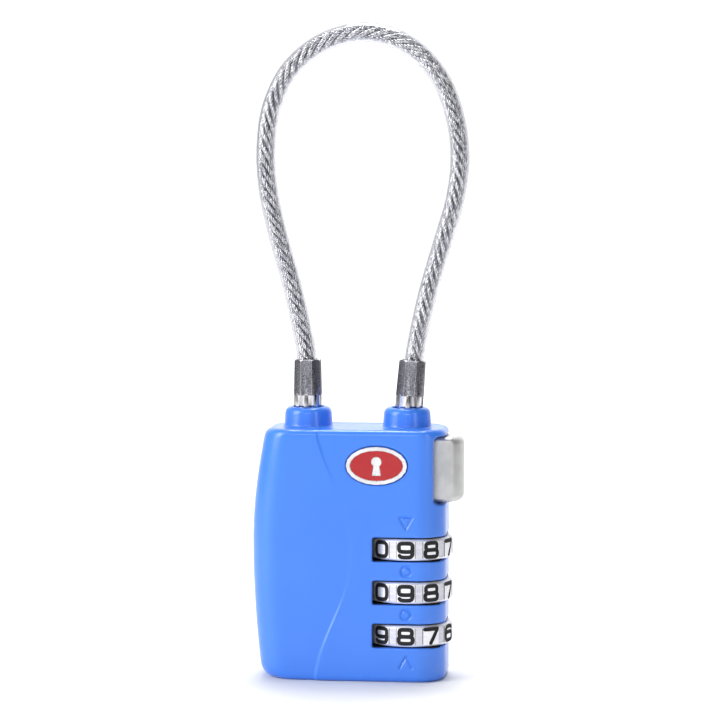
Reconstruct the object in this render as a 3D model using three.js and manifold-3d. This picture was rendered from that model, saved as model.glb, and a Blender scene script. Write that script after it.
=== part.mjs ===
// Luggage combination padlock with a cable loop. Millimetres, x right, y back, z up.
// The origin is on the underside, midway between front and back and near the middle of the width.
import * as THREE from 'three';
import { mergeVertices } from 'three/addons/utils/BufferGeometryUtils.js';
import Module from 'manifold-3d';

const wasm = await Module();
wasm.setup();

// ---- driving dimensions ----
const HEIGHT = 39.4;             // casing, without the collars
const LEFT_END = -15.05;         // at mid height
const RIGHT_END = 15.4;
const HALF_DEPTH = 7.0;
const PANEL_STEP = 0.3;          // the dial panel stands proud of the rest of the front
const BOW_Z = 20.4;              // middle of the bow that bounds the dial panel
const BOW_SPAN = 21.7;
const BOW_END = -4.65;
const BOW_RISE = 6.0;
const EDGE_R = 0.9;              // rounding of the casing's top and bottom edges
const LEFT_EDGE_R = [2.2, 1.2];  // the same at the left end, bottom and top
const RIGHT_EDGE_R = 1.0;
const PLAN_R = 4.6;              // rounding of the casing's upright corners
const SPLIT_Y = 4.5;             // the back cover starts just behind this plane
const SEAM = 0.1;
const GAP = 0.3;                 // clearance between pieces that move or rest on each other

const LATCH_X = -6.7;            // axis of the latch pin, its collar and the key cylinder
const ANCHOR_X = 9.0;            // axis of the fixed end's collar
const COLLAR_R = 3.8;
const COLLAR_TOP = 42.5;
const COUNTERBORE_R = 2.5;
const COUNTERBORE_Z = 41.2;

const FERRULE_R = 2.15;
const FERRULE_BASE_Z = 41.5;
const FLATS_Z = 44.3;
const FERRULE_TOP = 49.9;
const FERRULE_BORE_R = 1.85;
const ANCHOR_LEAN = 4.5;         // degrees the fixed ferrule leans outwards

const DIAL_X = 9.5;
const DIAL_Y = -0.6;
const DIAL_R = 6.7;
const DIAL_HEIGHT = 3.3;
const DIAL_CHAMFER = 0.3;
const DIAL_Z = [20.8, 14.05, 7.3];
const SHOWN = [9, 9, 8];         // digits at the front, top dial first
const DIGIT_W = 2.8;
const DIGIT_H = 2.75;
const STROKE = 0.58;
const ENGRAVE = 0.25;
const SLOT_HALF = 1.9;           // half height of a dial window
const SLOT_LEFT = 4.2;
const POCKET_R = 7.0;

const SPINDLE_R = 1.3;
const FIN_R = 2.1;
const SLEEVE_R = 3.2;
const SLEEVE_HALF = 3.05;
const SLEEVE_BORE = 1.6;
const SLEEVE_CHAMBER = 2.4;
const GATE_W = 1.5;
const GATE_TOP = 0.6;            // top of a gate wall above its dial's middle
const TOOTH_R = 3.9;
const NOTCH_R = 4.2;
const DIAL_BORE = 3.5;
const SLEEVE_WELL_TOP = 25.8;

const ARM_Z = [28.9, 31.3];      // the release button's arm
const ARM_HALF = 2.4;
const ARM_FLOOR = 28.6;
const ARM_CEILING = 31.7;
const CAM_DROP = 1.5;            // spindle travel for a full press
const CAM_RUN = 1.8;             // button travel
const BUTTON_Z = [27.95, 38.05];
const BUTTON_IN = 12.95;         // ends of the head's two cheeks
const BUTTON_WEB = 13.3;         // the head's inner face between the cheeks
const CHEEK_HALF = 2.6;
const CHEEK_WELL = 10.9;
const BUTTON_WELL = 11.2;        // inner end of the well that the head is pressed into
const NOTCH_X = 13.6;
const BUTTON_FACE = 17.0;
const BUTTON_OUT = 17.9;
const BUTTON_HALF = 3.8;

const CLIP_INNER = 1.75;
const CLIP_T = 0.4;
const PIN_R = 1.45;
const GROOVE_R = 0.75;

const CYLINDER_R = 3.2;
const PLUG_R = 2.0;
const PLUG_TOP = 22.0;
const WAFER_Z = [4.5, 8.0, 11.5, 15.0];

const BADGE = { x: 4.9, z: 33.9, w: 4.75, h: 2.95 };   // middle and half sizes
const RIVETS = [[-11.5, 7.0], [-11.2, 35.2], [0.8, 2.4], [2.6, 36.4]];

const CABLE_R = 1.55;
const CORE_R = 1.22;

// ---- materials ----
const finish = (color, roughness, metalness) =>
  new THREE.MeshStandardMaterial({ color, roughness, metalness });
const BLUE = [0x3f7fee, 0.32, 0.15];
const NICKEL = [0xd3d5d8, 0.22, 1.0];
const SATIN = [0xb9babd, 0.42, 0.9];
const STEEL = [0x9a9ca0, 0.4, 1.0];
const SPRING = [0x84878c, 0.35, 1.0];
const BRASS = [0xc9a557, 0.35, 1.0];

// ---- solids ----
const deg = (a) => (a * Math.PI) / 180;

function solid(geometry) {
  const bare = geometry.clone();
  bare.deleteAttribute('normal');
  bare.deleteAttribute('uv');
  const welded = mergeVertices(bare, 1e-4);
  const at = welded.attributes.position.array;
  const index = Array.from(welded.index.array);
  const tris = [];
  let volume = 0;
  for (let i = 0; i < index.length; i += 3) {
    const [a, b, c] = index.slice(i, i + 3);
    if (a === b || b === c || c === a) continue;
    tris.push(a, b, c);
    const [p, q, r] = [a, b, c].map((k) => new THREE.Vector3().fromArray(at, 3 * k));
    volume += p.dot(q.cross(r));
  }
  if (volume < 0) tris.reverse();
  return new wasm.Manifold(new wasm.Mesh({
    numProp: 3,
    vertProperties: new Float32Array(at),
    triVerts: new Uint32Array(tris),
  }));
}

const box = (x0, x1, y0, y1, z0, z1) => solid(
  new THREE.BoxGeometry(x1 - x0, y1 - y0, z1 - z0)
    .translate((x0 + x1) / 2, (y0 + y1) / 2, (z0 + z1) / 2));

// A turned piece about a vertical axis; the profile is pairs of radius and height.
function turned(profile, x = 0, y = 0, sides = 24) {
  const points = profile.map(([r, z]) => new THREE.Vector2(r, z));
  return solid(new THREE.LatheGeometry([...points, points[0]], sides)
    .rotateX(Math.PI / 2).translate(x, y, 0));
}

const rod = (r, z0, z1, x = 0, y = 0, sides = 24) =>
  turned([[0, z0], [r, z0], [r, z1], [0, z1]], x, y, sides);

const outline = (points) => new THREE.Shape(points.map(([x, y]) => new THREE.Vector2(x, y)));

// An outline in the plan view, raised from z0 to z1.
const raised = (shape, z0, z1) => solid(
  new THREE.ExtrudeGeometry(shape, { depth: z1 - z0, bevelEnabled: false, curveSegments: 10 })
    .translate(0, 0, z0));

// An outline in the front view, running from y0 to y1.
const through = (shape, y0, y1) => solid(
  new THREE.ExtrudeGeometry(shape, { depth: y1 - y0, bevelEnabled: false, curveSegments: 10 })
    .rotateX(Math.PI / 2).translate(0, y1, 0));

function spring(x, y, z0, z1, coil, wire, turns) {
  class Helix extends THREE.Curve {
    getPoint(t) {
      const a = 2 * Math.PI * turns * t;
      const h = z0 + wire + (z1 - z0 - 2 * wire) * t;
      return new THREE.Vector3(x + coil * Math.cos(a), y + coil * Math.sin(a), h);
    }
  }
  return solid(new THREE.ExtrudeGeometry(ring(wire, 5), {
    steps: Math.round(turns * 10), extrudePath: new Helix(),
  }));
}

function ring(r, sides) {
  const points = [];
  for (let i = 0; i < sides; i++) {
    const a = (2 * Math.PI * i) / sides;
    points.push([r * Math.cos(a), r * Math.sin(a)]);
  }
  return outline(points);
}

const minus = (body, cuts) => cuts.reduce((a, b) => a.subtract(b), body);
const plus = (parts) => parts.reduce((a, b) => a.add(b));

// ---- casing shape ----
const roundedInset = (gap, r) => (gap >= r ? 0 : r - Math.sqrt(r * r - (r - gap) ** 2));

function leftAt(z) {
  const rise = z > 22 ? 1.35 * ((z - 22) / 13.6) ** 1.8 : 1.4 * ((22 - z) / 22) ** 2;
  return LEFT_END + rise;
}

function casingRing(z, front) {
  const gap = Math.min(z, HEIGHT - z);
  const inset = roundedInset(gap, EDGE_R);
  const x0 = leftAt(z) + roundedInset(gap, LEFT_EDGE_R[z < HEIGHT / 2 ? 0 : 1]);
  const x1 = RIGHT_END - roundedInset(gap, RIGHT_EDGE_R);
  const y0 = front + inset;
  const y1 = HALF_DEPTH - inset;
  const r = PLAN_R - inset;
  const points = [];
  const corners = [[x1 - r, y0 + r, -90], [x1 - r, y1 - r, 0], [x0 + r, y1 - r, 90], [x0 + r, y0 + r, 180]];
  for (const [cx, cy, start] of corners) {
    for (let k = 0; k <= 7; k++) {
      const a = deg(start + (90 * k) / 7);
      points.push([cx + r * Math.cos(a), cy + r * Math.sin(a), z]);
    }
  }
  return points;
}

function casingBlock(front) {
  const rim = [0, 0.3, 0.6, 0.9].map((t) => EDGE_R * (1 - Math.cos((t / 0.9) * Math.PI / 2)));
  const low = [...rim, 1.2, 1.6, 2.2, 5.5, 10, 15];
  const levels = [...low, 22, 27, 31, ...low.slice(0, 8).map((z) => HEIGHT - z).reverse()];
  const rings = levels.map((z) => casingRing(z, front));
  const n = rings[0].length;
  const at = rings.flat(2);
  const index = [];
  for (let k = 0; k + 1 < rings.length; k++) {
    for (let i = 0; i < n; i++) {
      const j = (i + 1) % n;
      const [a, b, c, d] = [k * n + i, k * n + j, (k + 1) * n + j, (k + 1) * n + i];
      index.push(a, b, c, a, c, d);
    }
  }
  const last = (rings.length - 1) * n;
  for (let i = 1; i + 1 < n; i++) index.push(0, i + 1, i, last, last + i, last + i + 1);
  const geometry = new THREE.BufferGeometry();
  geometry.setAttribute('position', new THREE.Float32BufferAttribute(at, 3));
  geometry.setIndex(index);
  return solid(geometry);
}

// The raised dial panel's left edge is a bow that comes furthest to the right at mid height.
function panelOutline() {
  const edge = [];
  for (let k = 0; k <= 20; k++) {
    const z = (HEIGHT * k) / 20;
    const t = Math.min(Math.abs(z - BOW_Z) / BOW_SPAN, 1);
    edge.push([BOW_END + BOW_RISE * (0.5 + 0.5 * Math.cos(Math.PI * t)), z]);
  }
  return outline([...edge, [20, HEIGHT], [20, 0]]);
}

const wholeCasing = casingBlock(-HALF_DEPTH + PANEL_STEP)
  .add(casingBlock(-HALF_DEPTH).intersect(through(panelOutline(), -20, 0)));

// A round well that is open towards the back, so a piece can be laid into it.
const well = (r, z0, z1, x, y) => rod(r, z0, z1, x, y).add(box(x - r, x + r, y, 10, z0, z1));

// ---- index marks on the dial panel ----
function triangleMark(zFlat, zTip, margin) {
  const s = Math.sign(zTip - zFlat);
  return outline([[DIAL_X - 1.25 + margin, zFlat + s * margin * 0.6],
    [DIAL_X + 1.25 - margin, zFlat + s * margin * 0.6], [DIAL_X, zTip - s * margin * 1.2]]);
}

function markCuts() {
  const cuts = [];
  for (const [flat, tip] of [[26.0, 23.8], [2.1, 4.3]]) {
    const face = -HALF_DEPTH + ENGRAVE;
    cuts.push(through(triangleMark(flat, tip, 0), -8, face)
      .subtract(through(triangleMark(flat, tip, 0.5), -9, face + 1)));
  }
  for (const z of [17.45, 10.65]) {
    const dot = (r) => rod(r, 0, 1.0 + ENGRAVE, 0, 0, 20).rotate([90, 0, 0])
      .translate([DIAL_X, -HALF_DEPTH + ENGRAVE, z]);
    cuts.push(dot(0.85).subtract(dot(0.45)));
  }
  return cuts;
}

// ---- badge ----
function oval(grow) {
  const shape = new THREE.Shape();
  shape.absellipse(BADGE.x, BADGE.z, BADGE.w + grow, BADGE.h + grow, 0, 2 * Math.PI);
  return shape;
}

// A plain keyhole in the middle of the badge.
function keyhole(grow, y0, y1) {
  const disc = new THREE.Shape();
  disc.absarc(BADGE.x, BADGE.z + 0.6, 0.75 + grow, 0, 2 * Math.PI);
  const stem = outline([[BADGE.x - 0.65 - grow, BADGE.z - 1.5 - grow],
    [BADGE.x + 0.65 + grow, BADGE.z - 1.5 - grow],
    [BADGE.x + 0.35 + grow, BADGE.z + 0.4], [BADGE.x - 0.35 - grow, BADGE.z + 0.4]]);
  return through(disc, y0, y1).add(through(stem, y0, y1));
}

// ---- pieces ----
const pieces = [];
const add = (name, body, [color, roughness, metalness]) =>
  pieces.push({ name, body, material: finish(color, roughness, metalness) });

function frontCasing() {
  const collar = (x) => turned([[0, HEIGHT - 1], [COLLAR_R, HEIGHT - 1], [COLLAR_R, COLLAR_TOP - 0.6],
    [COLLAR_R - 0.18, COLLAR_TOP - 0.18], [COLLAR_R - 0.6, COLLAR_TOP], [0, COLLAR_TOP]], x, 0, 36);
  const lips = [LATCH_X, ANCHOR_X].map((x) => collar(x));
  const rear = box(-30, 30, SPLIT_Y, 30, -10, HEIGHT);
  const cuts = [rear];
  for (const z of DIAL_Z) {
    cuts.push(rod(POCKET_R, z - SLOT_HALF, z + SLOT_HALF, DIAL_X, DIAL_Y, 40));
    cuts.push(box(SLOT_LEFT, 20, -10, DIAL_Y, z - SLOT_HALF, z + SLOT_HALF));
  }
  cuts.push(well(DIAL_BORE, 4.0, SLEEVE_WELL_TOP, DIAL_X, DIAL_Y));
  cuts.push(well(SPINDLE_R + GAP, SLEEVE_WELL_TOP - 1, 27.5, DIAL_X, DIAL_Y));
  cuts.push(well(2.4, 1.3, 4.5, DIAL_X, DIAL_Y), rod(1.75, -1, 2, DIAL_X, DIAL_Y));
  cuts.push(box(-11.0, 1.0, -3.0, 10, 25.2, ARM_CEILING));
  cuts.push(box(0, 13.4, -ARM_HALF - GAP, 10, ARM_FLOOR, ARM_CEILING));
  cuts.push(box(7.7, 12.9, -ARM_HALF - GAP, 10, 27.1, 29));
  const [inner, outer] = [CHEEK_HALF - GAP, BUTTON_HALF + GAP];
  const floors = [[BUTTON_WELL, -outer, outer], [CHEEK_WELL, -outer, -inner], [CHEEK_WELL, inner, outer]];
  for (const [x, y0, y1] of floors) {
    cuts.push(box(x, NOTCH_X + 1, y0, y1, BUTTON_Z[0] - GAP, BUTTON_Z[1] + GAP));
  }
  cuts.push(buttonNotch());
  cuts.push(well(2.3, 33.2, 34.9, ANCHOR_X, 0), rod(1.7, 34, 42, ANCHOR_X, 0));
  cuts.push(rod(1.75, 31, 42, LATCH_X, 0));
  for (const x of [LATCH_X, ANCHOR_X]) {
    cuts.push(rod(COUNTERBORE_R, COUNTERBORE_Z, 44, x, 0));
  }
  cuts.push(rod(CYLINDER_R + GAP, -1, 22.5, LATCH_X, 0), rod(1.5, 22, 26, LATCH_X, 0));
  cuts.push(box(0.4, 3.0, DIAL_Y - 1.6, 10, 4.6, 23.9));
  for (const [x, z] of RIVETS) {
    cuts.push(rod(0.95, -10, 2.5, 0, 0, 16).rotate([90, 0, 0]).translate([x, 0, z]));
  }
  cuts.push(through(oval(0.15), -8, -HALF_DEPTH + 0.5), ...markCuts());
  return minus(plus([wholeCasing, ...lips]), cuts);
}

// The notch at the right end that the button's head stands in.
function buttonNotch() {
  const [z0, z1] = [BUTTON_Z[0] - GAP, BUTTON_Z[1] + GAP];
  const [x0, x1] = [NOTCH_X, NOTCH_X + 0.7];
  const corners = [[x0, z0 + 0.7], [x1, z0], [20, z0], [20, z1], [x1, z1], [x0, z1 - 0.7]];
  return through(outline(corners), -10, 10);
}

function backCover() {
  const cuts = [box(-30, 30, -30, SPLIT_Y + SEAM, -10, 60), buttonNotch()];
  for (const z of DIAL_Z) {
    cuts.push(rod(POCKET_R, z - SLOT_HALF, z + SLOT_HALF, DIAL_X, DIAL_Y, 40));
  }
  for (const [x, z] of RIVETS) {
    cuts.push(rod(0.95, -10, 10, 0, 0, 16).rotate([90, 0, 0]).translate([x, 0, z]));
    cuts.push(rod(1.6, -8, -6.1, 0, 0, 20).rotate([90, 0, 0]).translate([x, 0, z]));
  }
  const stop = box(0.9, 1.7, -1.0, SPLIT_Y + 1, 29.0, 31.2);
  return minus(wholeCasing, cuts).add(stop);
}

// Strokes of the ten digits, named like the bars of a segment display.
const STROKES = ['abcdef', 'bc', 'abged', 'abgcd', 'fgbc', 'afgcd', 'afgecd', 'abc', 'abcdefg', 'abcdfg'];

function digitBars(digit) {
  const [w, h, s] = [DIGIT_W / 2, DIGIT_H / 2, STROKE];
  const shift = digit === 1 ? -w + s / 2 : 0;
  const bars = {
    a: [-w, w, h - s, h], d: [-w, w, -h, s - h], g: [-w, w, -s / 2, s / 2],
    b: [w - s, w, 0, h], c: [w - s, w, -h, 0], f: [-w, s - w, 0, h], e: [-w, s - w, -h, 0],
  };
  return [...STROKES[digit]].map((k) => {
    const [x0, x1, z0, z1] = bars[k];
    return box(x0 + shift, x1 + shift, -DIAL_R - 1, -DIAL_R + ENGRAVE + 0.12, z0, z1);
  });
}

function numberDial(shown) {
  const [h, c] = [DIAL_HEIGHT / 2, DIAL_CHAMFER];
  const body = turned([[DIAL_BORE, -h], [DIAL_R - c, -h], [DIAL_R, c - h], [DIAL_R, h - c],
    [DIAL_R - c, h], [NOTCH_R, h], [NOTCH_R, 0], [DIAL_BORE, 0]], 0, 0, 40);
  const cuts = [];
  for (let k = 0; k < 10; k++) {
    cuts.push(plus(digitBars((shown - k + 10) % 10)).rotate([0, 0, 36 * k]));
    cuts.push(box(-0.6, 0.6, -DIAL_R - 1, -DIAL_R + 0.1, -1.1, 1.1).rotate([0, 0, 36 * k + 18]));
    cuts.push(box(-GATE_W / 2, GATE_W / 2, 0, NOTCH_R, -2, 0).rotate([0, 0, 36 * k]));
  }
  return minus(body, [plus(cuts)]);
}

function dialSleeve(top) {
  const tube = rod(SLEEVE_R, -SLEEVE_HALF, top, 0, 0, 36);
  const teeth = [0, 180].map((a) => box(-0.45, 0.45, 0, TOOTH_R, -1.5, -GAP).rotate([0, 0, a]));
  const gates = [0, -90].map((a) =>
    box(-GATE_W / 2, GATE_W / 2, 0, SLEEVE_CHAMBER, -9, 9).rotate([0, 0, a]));
  const bores = [rod(SLEEVE_BORE, -9, 9), rod(SLEEVE_CHAMBER, GATE_TOP, 9)];
  return minus(plus([tube, ...teeth]), [...bores, ...gates]);
}

function dialSpindle() {
  const shaft = turned([[0, 5.4], [0.9, 5.4], [SPINDLE_R, 5.8], [SPINDLE_R, 27.0], [0.4, 28.6], [0, 28.6]]);
  const fins = DIAL_Z.map((z) => box(-0.45, 0.45, 0, FIN_R, z + 0.85, z + 1.85));
  return plus([shaft, ...fins]).translate([DIAL_X, DIAL_Y, 0]);
}

function resetPin() {
  const body = turned([[0, 0.5], [1.45, 0.5], [1.45, 1.6], [2.1, 1.6], [2.1, 3.75], [1.6, 3.75],
    [1.6, 2.1], [0, 2.1]]);
  return body.subtract(box(-0.35, 0.35, -3, 3, 0, 1.0)).translate([DIAL_X, DIAL_Y, 0]);
}

function clickSpring() {
  const strip = box(0.8, 1.2, DIAL_Y - 1.2, DIAL_Y + 1.2, 4.9, 23.6);
  const wedge = (z) => outline([[1.0, z - 1.5], [2.5, z - 0.4], [2.5, z + 0.4], [1.0, z + 1.5]]);
  const fingers = DIAL_Z.map((z) => through(wedge(z), DIAL_Y - 0.6, DIAL_Y + 0.6));
  return plus([strip, ...fingers]);
}

function releaseButton() {
  const [z0, z1] = BUTTON_Z;
  const plan = new THREE.Shape();
  plan.moveTo(BUTTON_IN, -BUTTON_HALF);
  plan.lineTo(BUTTON_FACE - 0.25, -BUTTON_HALF);
  plan.lineTo(BUTTON_FACE + 0.15, -BUTTON_HALF + 0.4);
  plan.quadraticCurveTo(BUTTON_OUT + 0.1, -1.4, BUTTON_OUT, 0);
  plan.quadraticCurveTo(BUTTON_OUT + 0.1, 1.4, BUTTON_FACE + 0.15, BUTTON_HALF - 0.4);
  plan.lineTo(BUTTON_FACE - 0.25, BUTTON_HALF);
  plan.lineTo(BUTTON_IN, BUTTON_HALF);
  const r = 1.1;
  const front = new THREE.Shape();
  front.moveTo(BUTTON_IN + 0.5, z0);
  front.lineTo(BUTTON_OUT - r, z0);
  front.absarc(BUTTON_OUT - r, z0 + r, r, -Math.PI / 2, 0);
  front.absarc(BUTTON_OUT - r, z1 - r, r, 0, Math.PI / 2);
  front.lineTo(BUTTON_IN + 0.5, z1);
  front.lineTo(BUTTON_IN, z1 - 0.5);
  front.lineTo(BUTTON_IN, z0 + 0.5);
  const head = raised(plan, z0, z1).intersect(through(front, -9, 9))
    .subtract(box(BUTTON_IN - 1, BUTTON_WEB, -CHEEK_HALF, CHEEK_HALF, z0 - 1, z1 + 1));
  const armPlan = outline([[-2.25, -0.9], [-1.0, -ARM_HALF], [BUTTON_WEB + 0.5, -ARM_HALF],
    [BUTTON_WEB + 0.5, ARM_HALF], [-1.0, ARM_HALF], [-2.25, 0.9]]);
  const [low, high] = ARM_Z;
  const arm = raised(armPlan, low, high).subtract(box(0.6, 6.2, -1.3, 5, low - 1, high + 1));
  const start = DIAL_X + 0.35;
  const cam = through(outline([[start, low + 0.5], [start, low], [start + CAM_RUN, low - CAM_DROP],
    [12.6, low - CAM_DROP], [12.6, low + 0.5]]), -ARM_HALF, ARM_HALF);
  return plus([head, arm, cam]);
}

function latchClip() {
  const wall = box(-10.6, -2.6, -CLIP_INNER - CLIP_T, CLIP_INNER + CLIP_T, 25.7, 31.2)
    .subtract(box(-10.2, 0, -CLIP_INNER, CLIP_INNER, 20, 40));
  const lip = (s) => box(-8.0, -5.2, Math.min(1.05 * s, 1.9 * s), Math.max(1.05 * s, 1.9 * s), 30.15, 30.5);
  return plus([wall, lip(1), lip(-1)]);
}

function keyPlug() {
  const shaft = turned([[0, 0.7], [PLUG_R, 0.7], [PLUG_R, PLUG_TOP], [1.2, PLUG_TOP],
    [1.2, 26.2], [0, 26.2]]);
  const cam = rod(1, 25.9, 27.4, 0, 0, 28).scale([2.1, 1.35, 1]);
  const cuts = [box(-0.4, 0.4, -1.3, 1.3, 0, 19)];
  for (const z of WAFER_Z) cuts.push(box(-1.4, 1.4, -3, 3, z - 0.4, z + 0.4));
  return minus(plus([shaft, cam]), cuts).translate([LATCH_X, 0, 0]);
}

const wafer = (z) => box(-1.2, 1.2, -1.6, 1.6, z - 0.25, z + 0.25)
  .subtract(box(-0.45, 0.45, -1.1, 1.1, z - 1, z + 1)).translate([LATCH_X, 0, 0]);

function ferrule(bottom) {
  const oct = (r) => rod(r / Math.cos(deg(22.5)), FLATS_Z, FERRULE_TOP, 0, 0, 8).rotate([0, 0, 22.5]);
  const round = turned([[0, FERRULE_BASE_Z], [FERRULE_R - 0.2, FERRULE_BASE_Z],
    [FERRULE_R, FERRULE_BASE_Z + 0.2], [FERRULE_R, FLATS_Z], [0, FLATS_Z]]);
  const crown = turned([[0, FLATS_Z], [3, FLATS_Z], [3, FERRULE_TOP - 0.9],
    [FERRULE_R - 0.2, FERRULE_TOP], [0, FERRULE_TOP]]);
  const flats = oct(FERRULE_R).intersect(crown);
  const waist = rod(FERRULE_R - 0.1, FLATS_Z - 0.5, FLATS_Z + 0.5);
  return plus([round, flats, waist]).subtract(rod(FERRULE_BORE_R, bottom, 60));
}

// ---- the cable's route, from inside the free ferrule round to the fixed one ----
const LEAN = Math.tan(deg(ANCHOR_LEAN));
const CABLE_END = 43.9;
const ROUTE = [
  [LATCH_X, CABLE_END], [LATCH_X, 47.3], [-6.95, 51.0], [-7.6, 54.5], [-9.2, 61.5], [-11.4, 69.4],
  [-12.9, 76.3], [-13.3, 82.5], [-12.4, 89.3], [-9.4, 95.3], [-4.3, 99.4], [2.0, 101.0], [8.4, 99.4],
  [13.3, 95.0], [16.0, 89.3], [17.2, 82.0], [16.5, 75.3], [14.6, 68.6], [12.4, 61.1], [10.8, 54.0],
  [ANCHOR_X + 0.25 + (47.5 - FERRULE_BASE_Z) * LEAN, 47.5],
  [ANCHOR_X + 0.2 + (CABLE_END - FERRULE_BASE_Z) * LEAN, CABLE_END],
];
const route = new THREE.CatmullRomCurve3(ROUTE.map(([x, z]) => new THREE.Vector3(x, 0, z)));

function cable(radius, bore, sides) {
  const shape = ring(radius, sides);
  if (bore) shape.holes.push(ring(bore, sides));
  return solid(new THREE.ExtrudeGeometry(shape, { steps: 56, extrudePath: route }));
}

// ---- assembly ----
add('front_casing', frontCasing(), BLUE);
add('back_cover', backCover(), BLUE);
RIVETS.forEach(([x, z], i) => {
  const profile = [[0, -6.7], [1.35, -6.7], [1.35, -6.4], [0.75, -6.3], [0.75, 2.0], [0, 2.0]];
  const rivet = turned(profile, 0, 0, 20)
    .rotate([90, 0, 0]).translate([x, 0, z]);
  add(`cover_rivet_${i + 1}`, rivet, SATIN);
});
const plate = through(oval(0), -HALF_DEPTH - 0.12, -HALF_DEPTH + 0.35)
  .subtract(through(oval(-0.55), -9, -HALF_DEPTH + 0.1))
  .add(keyhole(0, -HALF_DEPTH - 0.1, -HALF_DEPTH + 0.2));
add('badge_plate', plate, NICKEL);
const enamel = through(oval(-0.62), -HALF_DEPTH - 0.06, -HALF_DEPTH + 0.05)
  .subtract(keyhole(0.07, -9, -5));
add('badge_enamel', enamel, [0xc4202a, 0.25, 0.0]);

DIAL_Z.forEach((z, i) => {
  add(`number_dial_${i + 1}`, numberDial(SHOWN[i]).translate([DIAL_X, DIAL_Y, z]), NICKEL);
  const top = i === 0 ? 2.3 : SLEEVE_HALF;
  add(`dial_sleeve_${i + 1}`, dialSleeve(top).translate([DIAL_X, DIAL_Y, z]), BRASS);
});
add('dial_spindle', dialSpindle(), STEEL);
add('spindle_spring', spring(DIAL_X, DIAL_Y, 2.2, 5.3, 1.1, 0.15, 5), SPRING);
add('reset_pin', resetPin(), BRASS);
add('reset_spring', spring(DIAL_X, DIAL_Y, 23.4, 25.6, 2.75, 0.18, 3), SPRING);
add('click_spring', clickSpring(), SPRING);
add('release_button', releaseButton(), SATIN);
const pressSpring = spring(0, 0, 1.8, 6.1, 0.85, 0.16, 6).rotate([0, 90, 0]);
add('button_spring', pressSpring.translate([0, 0, (ARM_Z[0] + ARM_Z[1]) / 2]), SPRING);
add('latch_clip', latchClip(), SPRING);
const cylinder = rod(CYLINDER_R, 0.5, 22.2, LATCH_X, 0).subtract(rod(PLUG_R + GAP, -1, 23, LATCH_X, 0));
add('lock_cylinder_sleeve', cylinder, BRASS);
add('key_plug', keyPlug(), BRASS);
WAFER_Z.forEach((z, i) => add(`key_wafer_${i + 1}`, wafer(z), BRASS));

const freeFerrule = ferrule(43.6).subtract(rod(0.95, 41, 43.1)).translate([LATCH_X, 0, 0]);
add('free_ferrule', freeFerrule, NICKEL);
const pin = turned([[0, 27.9], [0.7, 27.9], [1.4, 28.6], [1.4, 29.85], [GROOVE_R, 29.85], [GROOVE_R, 30.8],
  [PIN_R, 30.8], [PIN_R, 41.4], [0.8, 41.4], [0.8, 42.8], [0, 42.8]], LATCH_X, 0);
add('latch_pin', pin, STEEL);
const stud = turned([[0, 33.5], [1.4, 33.5], [1.4, 33.7], [1.0, 33.7], [1.0, 34.4], [1.4, 34.4],
  [1.4, 42.6], [0, 42.6]], ANCHOR_X, 0);
const leaning = ferrule(43.6).translate([0, 0, -FERRULE_BASE_Z]).rotate([0, ANCHOR_LEAN, 0])
  .translate([ANCHOR_X + 0.2, 0, FERRULE_BASE_Z]);
add('fixed_ferrule', plus([leaning, stud]), NICKEL);
const clipGap = plus([rod(1.15, 30, 40, ANCHOR_X, 0), box(ANCHOR_X - 0.9, ANCHOR_X + 0.9, -9, 0, 30, 40)]);
add('anchor_clip', rod(2.0, 33.75, 34.35, ANCHOR_X, 0).subtract(clipGap), SPRING);
add('cable_core', cable(CORE_R, 0, 10), STEEL);
add('cable_jacket', cable(CABLE_R, CORE_R + 0.03, 10), [0xe6e8ea, 0.15, 0.0]);

// ---- output ----
const lock = new THREE.Group();
lock.name = 'luggage_combination_padlock';
for (const { name, body, material } of pieces) {
  const { vertProperties, triVerts } = body.getMesh();
  const geometry = new THREE.BufferGeometry();
  geometry.setAttribute('position', new THREE.BufferAttribute(vertProperties, 3));
  geometry.setIndex(new THREE.BufferAttribute(triVerts, 1));
  geometry.computeVertexNormals();
  const mesh = new THREE.Mesh(geometry, material);
  mesh.name = name;
  lock.add(mesh);
}

export default lock;
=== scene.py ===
"""The looks of a luggage combination padlock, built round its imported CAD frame.

Lengths in this script are millimetres, x right, y back, z up, and become metres when a mesh is made.
"""

import math

import bpy
import numpy as np
from mathutils import Matrix, Vector


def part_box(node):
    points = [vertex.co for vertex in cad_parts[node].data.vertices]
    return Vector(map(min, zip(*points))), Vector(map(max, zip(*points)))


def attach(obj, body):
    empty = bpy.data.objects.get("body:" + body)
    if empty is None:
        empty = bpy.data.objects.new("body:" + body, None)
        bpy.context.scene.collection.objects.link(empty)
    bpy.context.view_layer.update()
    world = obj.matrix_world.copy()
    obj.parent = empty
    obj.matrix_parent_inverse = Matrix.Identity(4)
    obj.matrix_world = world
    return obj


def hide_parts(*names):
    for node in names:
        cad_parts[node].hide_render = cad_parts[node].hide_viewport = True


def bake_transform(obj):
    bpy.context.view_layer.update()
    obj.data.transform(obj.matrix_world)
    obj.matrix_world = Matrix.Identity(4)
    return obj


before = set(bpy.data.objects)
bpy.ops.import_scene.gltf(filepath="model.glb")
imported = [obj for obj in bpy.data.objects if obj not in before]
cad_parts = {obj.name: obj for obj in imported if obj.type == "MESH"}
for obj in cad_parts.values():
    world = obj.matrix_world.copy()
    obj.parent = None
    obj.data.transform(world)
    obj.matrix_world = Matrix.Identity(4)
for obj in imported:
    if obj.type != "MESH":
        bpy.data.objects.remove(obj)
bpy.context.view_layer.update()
MM = 0.001


def node_box(name):
    """Lowest and highest corner of a CAD node, in millimetres."""
    low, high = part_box(name)
    return np.array(low) / MM, np.array(high) / MM


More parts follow.
